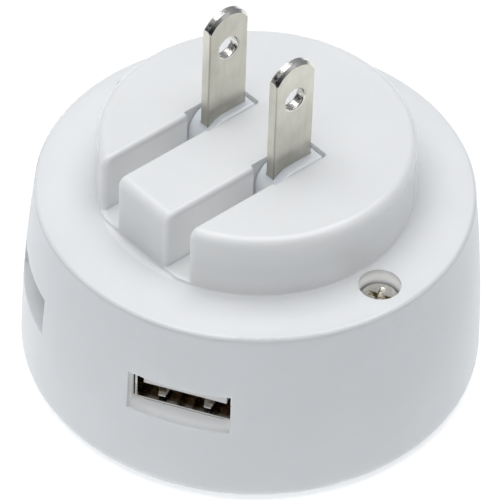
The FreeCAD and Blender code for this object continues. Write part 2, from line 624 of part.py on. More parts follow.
def make_barrel_retainer():
    """Moulded strap that closes the trunnion bays from inside the rear cover."""
    plate = block("RetainerPlate", "-Dims.retainer_half_x", "Dims.retainer_half_x",
                  "Dims.hinge_y - Dims.retainer_half_y", "Dims.hinge_y + Dims.retainer_half_y",
                  "Dims.retainer_under_level", "Dims.retainer_top_level")
    saddles = []
    windows = []
    for name, side in SIDES:
        low, high = sorted((f"{side} * Dims.saddle_inner_x", f"{side} * Dims.saddle_outer_x"),
                           key=size)
        saddles.append(block(
            f"Saddle{name.title()}", low, high, "Dims.hinge_y - Dims.saddle_half_y",
            "Dims.hinge_y + Dims.saddle_half_y", "Dims.retainer_top_level - 0.5",
            "Dims.hinge_level - 0.4"))
        windows.append(cylinder(
            f"RetainerHole{name.title()}", "Dims.retainer_screw_radius + 0.2",
            f"{side} * Dims.retainer_screw_x", "Dims.hinge_y",
            "Dims.retainer_under_level - 1", "Dims.retainer_top_level + 1"))
    seat = doc.addObject("Part::Cylinder", "TrunnionSeat")
    seat.setExpression("Radius", "Dims.trunnion_bay_radius")
    seat.setExpression("Height", "2 * Dims.cradle_half_x")
    seat.Placement = Placement(Vector(0, 0, 0), Rotation(Vector(0, 1, 0), 90))
    seat.setExpression("Placement.Base.x", "-Dims.cradle_half_x")
    seat.setExpression("Placement.Base.y", "Dims.hinge_y")
    seat.setExpression("Placement.Base.z", "Dims.hinge_level")
    solid = fuse("RetainerSolid", [plate] + saddles)
    holes = fuse("RetainerCuts", windows + [seat])
    return keep(cut("BarrelRetainer", solid, holes), "barrel_retainer")


def make_retainer_screws():
    parts = []
    for name, side in SIDES:
        x = f"{side} * Dims.retainer_screw_x"
        parts.append(fuse(f"RetainerScrew{name.title()}", [
            cylinder(f"RetainerHead{name.title()}", "Dims.retainer_screw_head", x,
                     "Dims.hinge_y",
                     "Dims.retainer_under_level - Dims.retainer_screw_head_height",
                     "Dims.retainer_under_level"),
            cylinder(f"RetainerShank{name.title()}", "Dims.retainer_screw_radius", x,
                     "Dims.hinge_y", "Dims.retainer_under_level - 0.5",
                     "Dims.retainer_top_level + Dims.retainer_screw_grip"),
        ]))
    group = doc.addObject("Part::Compound", "RetainerScrews")
    group.Links = parts
    return keep(group, "retainer_screws")


def make_detent_spring():
    """Bent steel strip under the barrel's shaft; its crown rests near the shaft's flats."""
    body = new_body("DetentSpringBody")
    strip = new_sketch(body, "DetentStrip", "YZ_Plane")
    floor = "Dims.retainer_top_level"
    crown = "Dims.hinge_level - Dims.shaft_radius - Dims.strip_gap"
    under_half = [("Dims.strip_foot_y", floor), ("Dims.strip_bend_y", floor),
                  ("Dims.strip_crown_y", f"{crown} - Dims.strip_thickness")]
    upper_half = [("Dims.strip_foot_y", f"{floor} + Dims.strip_thickness"),
                  ("Dims.strip_bend_y + Dims.strip_mitre", f"{floor} + Dims.strip_thickness"),
                  ("Dims.strip_crown_y + Dims.strip_mitre", crown)]
    near_under = [(f"Dims.hinge_y - ({y})", z) for y, z in under_half]
    far_under = [(f"Dims.hinge_y + {y}", z) for y, z in reversed(under_half)]
    far_upper = [(f"Dims.hinge_y + {y}", z) for y, z in upper_half]
    near_upper = [(f"Dims.hinge_y - ({y})", z) for y, z in reversed(upper_half)]
    outline(strip, near_under + far_under + far_upper + near_upper)
    pad(body, strip, "Dims.strip_width", midplane=True)
    return keep(body, "detent_spring")


def make_contact_springs():
    """Bronze leaves that carry current from each blade's tail down to the board."""
    for name, side in SIDES:
        label = name.title()
        centre = f"{side} * Dims.blade_centre_x"
        low_x = f"{centre} - Dims.leaf_half_width"
        high_x = f"{centre} + Dims.leaf_half_width"
        leaf_under = "Dims.retainer_top_level + Dims.leaf_gap"
        leaf_top = f"{leaf_under} + Dims.leaf_thickness"
        leaf = block(f"ContactLeaf{label}", low_x, high_x, "Dims.leaf_near_y",
                     "Dims.leaf_far_y", leaf_under, leaf_top)
        leg = block(f"ContactLeg{label}", low_x, high_x,
                    "Dims.leaf_far_y - Dims.leaf_thickness", "Dims.leaf_far_y",
                    BOARD_TOP, leaf_top)
        dimple = cylinder(f"ContactDimple{label}", "Dims.dimple_radius", centre,
                          "Dims.hinge_y", leaf_under, f"{leaf_top} + Dims.dimple_rise")
        keep(fuse(f"ContactSpring{label}", [leaf, leg, dimple]), f"contact_spring_{name}")


# ---------------------------------------------------------------- fasteners and board

def make_case_screws():
    """Pan-head cross-recess screws that hold the rear cover to the posts."""
    parts = []
    for (name, side), turn in zip(SIDES, CROSS_TURNS):
        label = name.title()
        x = f"{side} * Dims.screw_x"
        head = cylinder(f"CaseHead{label}", "Dims.case_screw_head_radius", x, "0",
                        "Dims.recess_floor_level", "Dims.case_screw_head_level")
        high = size("Dims.case_screw_head_level")
        dome = soften(f"CaseHeadDome{label}", head, size("Dims.case_screw_head_fillet"),
                      lambda edge: at_level(edge, high) and is_circle(edge))
        shank = cylinder(f"CaseShank{label}", "Dims.case_screw_radius", x, "0",
                         "Dims.case_screw_end_level", "Dims.recess_floor_level + 0.2")
        solid = fuse(f"CaseScrewSolid{label}", [dome, shank])
        parts.append(cut(f"CaseScrew{label}", solid, cross_recess(label, x, turn)))
    group = doc.addObject("Part::Compound", "CaseScrews")
    group.Links = parts
    return keep(group, "case_screws")


def cross_recess(label, x, turn):
    """Tapered cross that the screwdriver goes into, turned as the screw was left."""
    deep = "Dims.case_screw_head_level - Dims.cross_depth"
    above = f"Dims.case_screw_head_level + {OVERCUT}"
    reach = "Dims.cross_reach"
    half = "Dims.cross_width / 2"
    wings = fuse(f"CrossWings{label}", [
        block(f"CrossAlong{label}", f"-{reach}", reach, f"-{half}", half, deep, above),
        block(f"CrossAcross{label}", f"-{half}", half, f"-{reach}", reach, deep, above),
    ])
    taper = doc.addObject("Part::Cone", f"CrossTaper{label}")
    taper.setExpression("Radius1", "Dims.cross_reach - Dims.cross_depth * Dims.cross_taper")
    taper.setExpression("Radius2", f"Dims.cross_reach + {OVERCUT} * Dims.cross_taper")
    taper.setExpression("Height", f"Dims.cross_depth + {OVERCUT}")
    taper.setExpression("Placement.Base.z", deep)
    cross = doc.addObject("Part::MultiCommon", f"Cross{label}")
    cross.Shapes = [wings, taper]
    cross.Placement = Placement(Vector(0, 0, 0), Rotation(Vector(0, 0, 1), turn))
    cross.setExpression("Placement.Base.x", x)
    return cross


def make_main_board():
    """Round circuit board, notched round the two screw posts."""
    body = new_body("MainBoardBody")
    disc = new_sketch(body, "BoardDisc", level="Dims.board_level")
    circle(disc, "Dims.board_radius")
    pad(body, disc, "Dims.board_thickness")
    notches = new_sketch(body, "BoardNotches", level="Dims.board_level + Dims.board_thickness")
    for _, side in SIDES:
        circle(notches, "Dims.board_notch_radius", f"{side} * Dims.screw_x")
    pocket(body, notches, "Dims.board_thickness + 1")
    return keep(body, "main_board")


# ---------------------------------------------------------------- USB sockets

def make_usb_socket(number, azimuth):
    """One USB-A socket: folded shell with two floor springs, tongue block, four contacts."""
    around = Placement(Vector(0, 0, 0), Rotation(Vector(0, 0, 1), azimuth))
    front = "Dims.port_front"
    back = "Dims.port_front - Dims.socket_length"
    half = "Dims.socket_shell_width / 2"
    rise = "Dims.socket_shell_height / 2"
    wall = "Dims.socket_shell_wall"
    mid = "Dims.port_level"
    tag = f"Usb{number}"

    tube = cut(f"{tag}Tube",
               block(f"{tag}Outer", back, front, f"-{half}", half,
                     f"{mid} - {rise}", f"{mid} + {rise}"),
               block(f"{tag}Inner", f"{back} + {wall}", f"{front} + 1", f"-{half} + {wall}",
                     f"{half} - {wall}", f"{mid} - {rise} + {wall}", f"{mid} + {rise} - {wall}"))
    springs = []
    for name, side in SIDES:
        springs.append(floor_spring(f"{tag}Spring{name.title()}",
                                    f"{side} * Dims.spring_spacing / 2"))
    shell = fuse(f"{tag}Shell", [tube] + springs)
    shell.Placement = around
    keep(shell, f"usb_shell_{number}")

    inside = f"{back} + {wall}"
    under = f"{mid} + Dims.tongue_rise - Dims.tongue_thickness / 2"
    over = f"{mid} + Dims.tongue_rise + Dims.tongue_thickness / 2"
    tongue_half = "Dims.tongue_width / 2"
    heel = block(f"{tag}Heel", inside, f"{inside} + Dims.tongue_block_length",
                 f"-{half} + {wall}", f"{half} - {wall}",
                 f"{mid} - {rise} + {wall}", f"{mid} + {rise} - {wall}")
    blade = block(f"{tag}Tongue", inside, f"{front} - Dims.tongue_recess", f"-{tongue_half}",
                  tongue_half, under, over)
    tongue = fuse(f"{tag}Insulator", [heel, blade])
    tongue.Placement = around
    keep(tongue, f"usb_tongue_{number}")

    strips = []
    for strip, offset in enumerate(PIN_OFFSETS, start=1):
        strips.append(block(
            f"{tag}Contact{strip}", f"{inside} + Dims.tongue_block_length",
            f"{front} - Dims.tongue_recess - Dims.contact_recess",
            f"{offset} - Dims.contact_width / 2",
            f"{offset} + Dims.contact_width / 2", f"{under} - Dims.contact_thickness", under))
    contacts = doc.addObject("Part::Compound", f"{tag}Contacts")
    contacts.Links = strips
    contacts.Placement = around
    keep(contacts, f"usb_contacts_{number}")


def floor_spring(name, across):
    """Tapered retention spring that rises from the socket's floor towards its mouth."""
    half = size("Dims.spring_width") / 2
    tip_half = size("Dims.spring_tip_width") / 2
    front = size("Dims.port_front")
    foot = front - size("Dims.spring_length")
    crest = front - size("Dims.spring_crest_run")
    tip = front - size("Dims.spring_tip_run")
    floor = size("Dims.port_level - Dims.socket_shell_height / 2 + Dims.socket_shell_wall")
    crest_level = floor + size("Dims.spring_crest_rise")
    tip_level = floor + size("Dims.spring_tip_rise")
    thick = size("Dims.spring_thickness")
    sunk = floor - thick / 4
    middle = size(across)
    under = [(foot, sunk), (crest, crest_level), (tip, tip_level)]
    side_view = under + [(x, z + thick) for x, z in reversed(under)]
    plan = [(foot - half, -half), (crest, -half), (tip, -tip_half),
            (tip, tip_half), (crest, half), (foot - half, half)]
    profile = Part.Face(Part.makePolygon(
        [Vector(x, middle - 2 * half, z) for x, z in side_view + side_view[:1]]))
    shape = profile.extrude(Vector(0, 4 * half, 0))
    cutter = Part.Face(Part.makePolygon(
        [Vector(x, middle + y, floor - 1) for x, y in plan + plan[:1]]))
    shape = shape.common(cutter.extrude(Vector(0, 0, 4)))
    item = doc.addObject("Part::Feature", name)
    item.Shape = shape
    return item


# ---------------------------------------------------------------- power components

def make_transformer():
    """Ferrite core, bobbin and taped winding of the isolating transformer."""
    half_x = "Dims.transformer_x / 2"
    half_y = "Dims.transformer_y / 2"
    base = f"{BOARD_TOP} + Dims.core_lift"
    top = "Dims.transformer_level"
    bar = "Dims.core_bar"
    depth = "Dims.core_half_depth"
    fit = "Dims.bobbin_fit"
    wall = "Dims.bobbin_wall"
    wide = "Dims.bobbin_half_x"

    yoke = block("CoreBlock", f"-{half_x}", half_x, f"-{depth}", depth, base, top)
    window = block("CoreWindow", f"-{half_x} + {bar}", f"{half_x} - {bar}",
                   f"-{depth} - 1", f"{depth} + 1", f"{base} + {bar}", f"{top} - {bar}")
    limb = block("CoreLimb", f"-{bar}", bar, f"-{depth}", depth, f"{base} + {bar} / 2",
                 f"{top} - {bar} / 2")
    keep(fuse("TransformerCore", [cut("CoreFrame", yoke, window), limb]), "transformer_core")

    low = f"{base} + {bar} + {fit}"
    high = f"{top} - {bar} - {fit}"
    solids = [
        block("FlangeLower", f"-{wide}", wide, f"-{half_y}", half_y, low, f"{low} + {wall}"),
        block("FlangeUpper", f"-{wide}", wide, f"-{half_y}", half_y, f"{high} - {wall}", high),
        block("BobbinSleeve", f"-{bar} - {wall}", f"{bar} + {wall}",
              f"-{depth} - {wall}", f"{depth} + {wall}", low, high),
        block("BobbinFootNear", f"-{wide}", wide, f"-{half_y}",
              f"-{half_y} + Dims.bobbin_foot", BOARD_TOP, f"{low} + {wall}"),
        block("BobbinFootFar", f"-{wide}", wide, f"{half_y} - Dims.bobbin_foot", half_y,
              BOARD_TOP, f"{low} + {wall}"),
    ]
    bore = block("BobbinBore", f"-{bar} - {fit}", f"{bar} + {fit}", f"-{depth} - {fit}",
                 f"{depth} + {fit}", base, top)
    keep(cut("TransformerBobbin", fuse("BobbinSolid", solids), bore), "transformer_bobbin")

    coil = block("WindingOuter", "-Dims.winding_half_x", "Dims.winding_half_x",
                 f"-{half_y} + Dims.winding_inset", f"{half_y} - Dims.winding_inset",
                 f"{low} + {wall} + {fit}", f"{high} - {wall} - {fit}")
    core_gap = block("WindingBore", f"-{bar} - {wall} - {fit}", f"{bar} + {wall} + {fit}",
                     f"-{depth} - {wall} - {fit}", f"{depth} + {wall} + {fit}", base, top)
    keep(cut("TransformerWinding", coil, core_gap), "transformer_winding")


def make_standing_cans():
    """Upright capacitor cans with rounded shoulders, standing on the board."""
    for name, radius, x, y, height in STANDING_CANS:
        can = cylinder(f"{name}_can", str(radius), str(x), str(y), BOARD_TOP,
                       f"{BOARD_TOP} + {height}")
        keep(soften(f"{name}_rounded", can, size("Dims.can_fillet"), is_circle), name)


def make_filter_choke():
    """Ferrite reel with a copper winding round its waist."""
    place = ("Dims.choke_x", "Dims.choke_y")
    top = f"{BOARD_TOP} + Dims.choke_height"
    lower = f"{BOARD_TOP} + Dims.choke_flange"
    upper = f"{top} - Dims.choke_flange"
    keep(fuse("ChokeSolid", [
        cylinder("ChokeFoot", "Dims.choke_radius", *place, BOARD_TOP, lower),
        cylinder("ChokeWaist", "Dims.choke_waist_radius", *place, BOARD_TOP, top),
        cylinder("ChokeCap", "Dims.choke_radius", *place, upper, top),
    ]), "filter_choke_core")
    fit = "Dims.bobbin_fit"
    coil = cylinder("ChokeCoilOuter", "Dims.choke_coil_radius", *place, f"{lower} + {fit}",
                    f"{upper} - {fit}")
    bore = cylinder("ChokeCoilBore", f"Dims.choke_waist_radius + {fit}", *place, BOARD_TOP, top)
    keep(cut("ChokeCoil", coil, bore), "filter_choke_winding")


def make_small_parts():
    """Fuse and safety capacitor on top of the board, rectifier and two chips under it."""
    fuse_can = cylinder("FuseBody", "Dims.fuse_radius", "Dims.fuse_x", "Dims.fuse_y",
                        BOARD_TOP, f"{BOARD_TOP} + Dims.fuse_height")
    keep(soften("Fuse", fuse_can, size("Dims.fuse_fillet"), is_circle), "fuse")

    disc = doc.addObject("Part::Cylinder", "SafetyDisc")
    disc.setExpression("Radius", "Dims.safety_radius")
    disc.setExpression("Height", "Dims.safety_thickness")
    disc.Placement = Placement(Vector(0, 0, 0), Rotation(Vector(1, 0, 0), 90))
    disc.setExpression("Placement.Base.y", "Dims.safety_y")
    disc.setExpression("Placement.Base.z", f"{BOARD_TOP} + Dims.safety_radius")
    keep(soften("SafetyCapacitor", disc, size("Dims.safety_fillet"), is_circle),
         "safety_capacitor")

    under = "Dims.board_level"
    keep(block("BridgeRectifier", "-Dims.rectifier_half_x", "Dims.rectifier_half_x",
               "-Dims.rectifier_half_y", "Dims.rectifier_half_y",
               f"{under} - Dims.rectifier_height", under), "bridge_rectifier")
    keep(block("ControlChip", "Dims.chip_inner_x", "Dims.chip_outer_x", "Dims.chip_near_y",
               "Dims.chip_far_y", f"{under} - Dims.chip_height", under), "control_chip")
    keep(block("PortController", "-Dims.chip_outer_x", "-Dims.chip_inner_x",
               "Dims.chip_near_y", "Dims.chip_far_y", f"{under} - Dims.chip_height", under),
         "port_controller")


make_housing()
make_rear_cover()
make_plug_barrel()
for blade_name, blade_side in SIDES:
    make_blade(blade_name, blade_side)
make_barrel_retainer()
make_retainer_screws()
make_detent_spring()
make_contact_springs()
make_case_screws()
make_main_board()
for socket_number, socket_azimuth in enumerate(PORT_AZIMUTHS, start=1):
    make_usb_socket(socket_number, socket_azimuth)
make_transformer()
make_standing_cans()
make_filter_choke()
make_small_parts()
doc.recompute()

# ---------------------------------------------------------------- export

for item in doc.Objects:
    if "Invalid" in item.State or "Error" in item.State:
        raise RuntimeError(f"{item.Name} failed: {item.State}")
os.makedirs("parts", exist_ok=True)
for item in sub_parts:
    shape = item.Shape
    if shape.isNull() or not shape.isValid() or not shape.Solids:
        raise RuntimeError(f"{item.Label} is not a valid solid")
    shape.exportStep(f"parts/{item.Label}.step")
    print(f"{item.Label}: {len(shape.Solids)} solid(s), {shape.Volume:.1f} mm3")
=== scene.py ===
"""USB wall charger: looks, studio and camera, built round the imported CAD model."""

import json
import math

import bpy
from mathutils import Matrix, Vector


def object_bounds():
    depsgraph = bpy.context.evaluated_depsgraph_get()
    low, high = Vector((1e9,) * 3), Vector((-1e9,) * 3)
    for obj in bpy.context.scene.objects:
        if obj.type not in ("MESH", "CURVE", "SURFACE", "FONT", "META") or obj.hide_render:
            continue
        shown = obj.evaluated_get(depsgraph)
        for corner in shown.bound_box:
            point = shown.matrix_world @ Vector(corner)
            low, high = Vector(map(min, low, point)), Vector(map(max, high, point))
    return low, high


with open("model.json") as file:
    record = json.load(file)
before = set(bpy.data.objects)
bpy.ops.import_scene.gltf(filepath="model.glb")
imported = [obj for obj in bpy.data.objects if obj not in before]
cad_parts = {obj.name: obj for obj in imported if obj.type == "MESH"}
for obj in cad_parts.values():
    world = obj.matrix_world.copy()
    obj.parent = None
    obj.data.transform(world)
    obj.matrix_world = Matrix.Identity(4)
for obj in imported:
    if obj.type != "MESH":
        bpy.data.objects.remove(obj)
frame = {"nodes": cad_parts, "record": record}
cad_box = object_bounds()

MM = 0.001

# Measures of the part that the finishes follow. Heights are above the table, the slots' are
# sideways from the middle plane, and radii are from the charger's upright axis.
BASE_RADIUS = 30.15 * MM
RIM_RADIUS = 28.4 * MM
DRUM_BOW = 0.4 * MM
DRUM_HEIGHT = 27.0 * MM
SCREW_HEAD_LEVEL = 25.05 * MM
BOSS_RADIUS = 20.5 * MM
SLOT_INNER, SLOT_OUTER = 4.0 * MM, 9.0 * MM
SLOT_BOTTOM, SLOT_TOP = 27.9 * MM, 35.3 * MM
BLADE_ROOT = 36.2 * MM
PORT_BOTTOM, PORT_TOP = 4 * MM, 20 * MM
PORT_FRONT = 26.8 * MM
PORT_FLOOR = 11.94 * MM
PORT_TURN = math.radians(60)
SPRING_INNER, SPRING_OUTER = 2.1 * MM, 4.0 * MM

# The scattering of the white shell, the tint of the fill light painted into its shaded hollows as
# emission, and how much of that painted light goes on the slots and the boss' foot, next to the
# ports
SCATTER = {"Subsurface_Weight": 0.3, "Subsurface_Scale": 1.0,
           "Subsurface_Radius": (2.6 * MM, 2.4 * MM, 2.1 * MM)}
PAINTED_FILL_TINT = (1.0, 0.972, 0.955, 1)
SLOT_PAINTED_FILL = 0.42
FOOT_PAINTED_FILL = 0.35

# How far the roughness of a plastic wanders. Broad pieces keep clear of about 0.27, where faint
# contour lines appear.
POLISH_SWING = 0.015


# ---------------------------------------------------------------- node helpers

class Nodes:
    """The handful of shader nodes that the finishes and the sky share."""

    def __init__(self, tree):
        self.nodes = tree.nodes
        self.links = tree.links

    def feed(self, socket, value):
        """Links another node's output to a socket, or sets a plain value on it."""
        if isinstance(value, bpy.types.NodeSocket):
            self.links.new(value, socket)
        else:
            socket.default_value = value

    def add(self, kind, **inputs):
        node = self.nodes.new(kind)
        for name, value in inputs.items():
            self.feed(node.inputs[name.replace("_", " ")], value)
        return node

    def spread(self, source, low, high, start=0.3, end=0.7):
        """Maps start..end of a texture to low..high."""
        return self.add("ShaderNodeMapRange", Value=source, From_Min=start, From_Max=end,
                        To_Min=low, To_Max=high).outputs["Result"]

    def maths(self, operation, *values):
        node = self.nodes.new("ShaderNodeMath")
        node.operation = operation
        for socket, value in zip(node.inputs, values):
            self.feed(socket, value)
        return node.outputs["Value"]

    def blend(self, factor, first, second):
        """Mixes two colours, each a texture or a plain colour."""
        node = self.add("ShaderNodeMix", Factor=factor)
        node.data_type = "RGBA"
        for letter, value in (("A", first), ("B", second)):
            socket = [i for i in node.inputs if i.name == letter and i.type == "RGBA"][0]
            self.feed(socket, (*value, 1) if isinstance(value, tuple) else value)
        return [o for o in node.outputs if o.type == "RGBA"][0]

    def axis(self, source, letter):
        return self.add("ShaderNodeSeparateXYZ", Vector=source).outputs[letter]


class Surface(Nodes):
    """A material whose textures and masks follow the piece's own coordinates and normals."""

    def __init__(self, name, material=None):
        self.material = material or bpy.data.materials.new(name)
        self.material.use_nodes = True
        super().__init__(self.material.node_tree)
        self.shader = self.nodes["Principled BSDF"]
        coordinates = self.nodes.new("ShaderNodeTexCoord")
        self.place = coordinates.outputs["Object"]
        self.normal = coordinates.outputs["Normal"]

    def set(self, **values):
        for name, value in values.items():
            self.feed(self.shader.inputs[name.replace("_", " ")], value)

    def stretch(self, scale):
        return self.add("ShaderNodeMapping", Vector=self.place, Scale=scale).outputs["Vector"]

    def noise(self, scale, detail=3.0, roughness=0.5, vector=None):
        return self.add("ShaderNodeTexNoise", Scale=scale, Detail=detail, Roughness=roughness,
                        Vector=vector or self.place).outputs["Fac"]

    def colours(self, source, first, last):
        """Colour ramp between two (position, colour) stops."""
        node = self.add("ShaderNodeValToRGB", Fac=source)
        for stop, (position, colour) in zip(node.color_ramp.elements, (first, last)):
            stop.position, stop.color = position, (*colour, 1)
        return node.outputs["Color"]

    def band(self, source, low, high, soft=0.4 * MM):
        """One between low and high, zero outside, with soft ends."""
        rise = self.spread(source, 0.0, 1.0, low - soft, low + soft)
        fall = self.spread(source, 1.0, 0.0, high - soft, high + soft)
        return self.maths("MULTIPLY", rise, fall)

    def radius(self):
        """Distance from the charger's upright axis."""
        x, y = self.axis(self.place, "X"), self.axis(self.place, "Y")
        return self.maths("SQRT", self.maths("ADD", self.maths("MULTIPLY", x, x),
                                             self.maths("MULTIPLY", y, y)))

    def bump(self, height, distance, strength=1.0, under=None):
        """Raises the surface, over an earlier bump if there is one."""
        node = self.add("ShaderNodeBump", Height=height, Distance=distance, Strength=strength)
        if under:
            self.feed(node.inputs["Normal"], under)
        self.set(Normal=node.outputs["Normal"])
        return node.outputs["Normal"]


# ---------------------------------------------------------------- finishes

def moulded_plastic(name, dark, light, roughness, grain=0.0025 * MM, **values):
    """Injection-moulded plastic: faint cloudiness and a fine spark-eroded grain."""
    s = Surface(name)
    clouds = s.noise(scale=90, detail=4)
    polish = s.noise(scale=60, detail=2)
    s.set(Base_Color=s.colours(clouds, (0.35, dark), (0.65, light)),
          Roughness=s.spread(polish, roughness - POLISH_SWING, roughness + POLISH_SWING))
    s.bump(s.noise(scale=5200, detail=2, roughness=0.6), grain)
    s.set(**values)
    return s.material


def shell_plastic(name, dark, light, roughness, painted_fill_strength):
    """White shell plastic; warm fill light is painted into its shaded ports, recesses and slots,
    and round the boss' foot.
    """
    material = moulded_plastic(name, dark, light, roughness, **SCATTER)
    material.cycles.emission_sampling = "NONE"
    s = Surface(name, material)
    height = s.axis(s.place, "Z")

    # How far a point lies inside the bowed and tapered wall of the drum
    part_way = s.maths("DIVIDE", height, DRUM_HEIGHT)
    bow = s.maths("MULTIPLY", s.maths("MULTIPLY", part_way, s.maths("SUBTRACT", 1.0, part_way)),
                  4 * DRUM_BOW)
    taper = s.maths("MULTIPLY", part_way, RIM_RADIUS - BASE_RADIUS)
    wall = s.maths("ADD", s.maths("ADD", taper, bow), BASE_RADIUS)
    depth = s.maths("SUBTRACT", wall, s.radius())
    inside = s.spread(depth, 0.0, 1.0, start=0.3 * MM, end=1.2 * MM)

    # Painted fill light in the ports, weaker towards -X so the left-hand port stays darker, and in
    # the screw recesses; both only inside the drum's wall
    towards_right = s.spread(s.axis(s.place, "X"), 0.1, 1.0, start=-12 * MM, end=6 * MM)
    ports = s.maths("MULTIPLY", s.band(height, PORT_BOTTOM, PORT_TOP), towards_right)
    recesses = s.band(height, SCREW_HEAD_LEVEL, DRUM_HEIGHT - 0.5 * MM)
    low = s.maths("MULTIPLY", inside, s.maths("MAXIMUM", ports, recesses))

    # Painted fill light in the blade slots, weaker towards their outer ends
    across = s.band(s.maths("ABSOLUTE", s.axis(s.place, "X")), SLOT_INNER, SLOT_OUTER)
    slots = s.maths("MULTIPLY", across, s.band(height, SLOT_BOTTOM, SLOT_TOP))
    outer_end = s.spread(s.radius(), 1.0, 0.3, start=15 * MM, end=19.5 * MM)
    slots = s.maths("MULTIPLY", slots, outer_end)

    # Painted fill light round the boss' foot, fading upwards
    around = s.band(s.radius(), BOSS_RADIUS - 0.6 * MM, BOSS_RADIUS + 0.2 * MM, soft=0.15 * MM)
    upwards = s.spread(height, FOOT_PAINTED_FILL, 0.0, start=DRUM_HEIGHT, end=DRUM_HEIGHT + 4 * MM)
    boss_foot = s.maths("MULTIPLY", around, upwards)

    # The warm emission paints all this fill light onto the surface
    painted_fill_mask = s.maths("MAXIMUM", s.maths("MAXIMUM", low, boss_foot),
                  s.maths("MULTIPLY", slots, SLOT_PAINTED_FILL))
    s.set(Emission_Color=PAINTED_FILL_TINT, Emission_Strength=s.maths("MULTIPLY", painted_fill_mask, painted_fill_strength))
    return material


def translucent_plastic(name):
    """Glossy bluish barrel plastic that lets some light through."""
    s = Surface(name)
    clouds = s.noise(scale=240, detail=3)
    s.set(Base_Color=s.colours(clouds, (0.3, (0.74, 0.80, 0.87)), (0.7, (0.82, 0.87, 0.92))),
          Roughness=s.spread(s.noise(scale=900, detail=2), 0.12, 0.2),
          Subsurface_Weight=0.35, Subsurface_Radius=(4 * MM, 5 * MM, 6 * MM), Subsurface_Scale=1.0,
          Coat_Weight=0.4, Coat_Roughness=0.05, IOR=1.5)
    s.bump(s.noise(scale=700, detail=2), 0.004 * MM)
    return s.material


def nickel_blade(name):
    """Satin nickel plate, drawn lengthwise, darker towards the root and polished on its bevels."""
    s = Surface(name)
    height = s.axis(s.place, "Z")
    streaks = s.noise(scale=1100, detail=4, roughness=0.6, vector=s.stretch((1, 1, 0.12)))
    blotches = s.noise(scale=330, detail=4, roughness=0.55)
    pits = s.noise(scale=1900, detail=4, roughness=0.7)

    # The broad faces and the thin edges are satin; everything that slopes is polished
    facing = s.maths("ABSOLUTE", s.axis(s.normal, "X"))
    upright = s.maths("ABSOLUTE", s.axis(s.normal, "Z"))
    broad = s.spread(facing, 0.0, 1.0, start=0.93, end=0.99)
    edge = s.spread(upright, 1.0, 0.0, start=0.05, end=0.2)
    satin = s.maths("MAXIMUM", broad, edge)

    worn = s.maths("ADD", s.maths("MULTIPLY", streaks, 0.4), s.maths("MULTIPLY", blotches, 0.6))
    tone = s.colours(worn, (0.3, (0.60, 0.58, 0.50)), (0.7, (0.76, 0.74, 0.66)))
    # Painted reflection: the rounded long edges darken into a dark line
    corner = s.maths("MULTIPLY", s.band(facing, 0.3, 0.9, soft=0.08), edge)
    shaded = s.blend(s.maths("MULTIPLY", corner, 0.55), tone, (0.24, 0.22, 0.18))
    # Darker towards the root, over its lowest 2.8 mm, with a wavering upper end
    wavering = s.maths("ADD", height, s.spread(blotches, -0.6 * MM, 0.6 * MM))
    root = s.spread(wavering, 0.4, 0.0, start=BLADE_ROOT, end=BLADE_ROOT + 2.8 * MM)
    plain = s.blend(s.maths("MULTIPLY", root, satin), shaded, (0.26, 0.24, 0.20))

    # Burnt specks on the -Y shoulder of the tip
    leading = s.spread(s.axis(s.normal, "Y"), 1.0, 0.0, start=-0.75, end=-0.45)
    nose = s.maths("MULTIPLY", leading, s.spread(upright, 0.0, 1.0, start=0.15, end=0.35))
    burnt = s.colours(pits, (0.40, (0.04, 0.037, 0.032)), (0.62, (0.82, 0.80, 0.75)))
    polished = s.blend(nose, (0.80, 0.785, 0.74), burnt)

    rough = s.maths("ADD", s.spread(streaks, 0.29, 0.34), s.spread(blotches, -0.01, 0.05))
    s.set(Base_Color=s.blend(satin, polished, plain), Metallic=1.0,
          Roughness=s.maths("MAXIMUM", s.maths("MULTIPLY", satin, rough), 0.06))
    tip = s.spread(upright, 0.1, 1.0, start=0.2, end=0.7)
    lumps = s.bump(s.maths("MULTIPLY", pits, tip), 0.08 * MM, strength=0.6)
    s.bump(streaks, 0.004 * MM, strength=0.5, under=lumps)
    return s.material


def plated_metal(name, dark, light, smoothest, roughest):
    """Bright or rolled sheet metal with faint handling marks."""
    s = Surface(name)
    marks = s.noise(scale=800, detail=4, roughness=0.6)
    s.set(Base_Color=s.colours(marks, (0.3, dark), (0.7, light)), Metallic=1.0,
          Roughness=s.spread(s.noise(scale=1600, detail=3), smoothest, roughest))
    s.bump(marks, 0.003 * MM)
    return s.material


def screw_head(name):
    """Nickel-plated screw, scuffed, with shade and glints painted into its driver recess."""
    s = Surface(name)
    scuffs = s.noise(scale=2100, detail=4, roughness=0.7)
    # Painted shade, mottled with painted glints, on the head below its top face, in the driver
    # recess
    recess = s.spread(s.axis(s.place, "Z"), 1.0, 0.0, start=SCREW_HEAD_LEVEL - 0.25 * MM,
                      end=SCREW_HEAD_LEVEL - 0.08 * MM)
    head = s.colours(scuffs, (0.3, (0.60, 0.585, 0.54)), (0.7, (0.78, 0.765, 0.72)))
    recess_painted_shade = s.colours(scuffs, (0.38, (0.17, 0.145, 0.10)), (0.58, (0.86, 0.82, 0.73)))
    s.set(Base_Color=s.blend(recess, head, recess_painted_shade), Metallic=1.0,
          Roughness=s.spread(scuffs, 0.12, 0.26))
    depth = s.spread(recess, 0.1, 1.0, start=0.0, end=1.0)
    s.bump(s.maths("MULTIPLY", scuffs, depth), 0.06 * MM, strength=0.6)
    return s.material


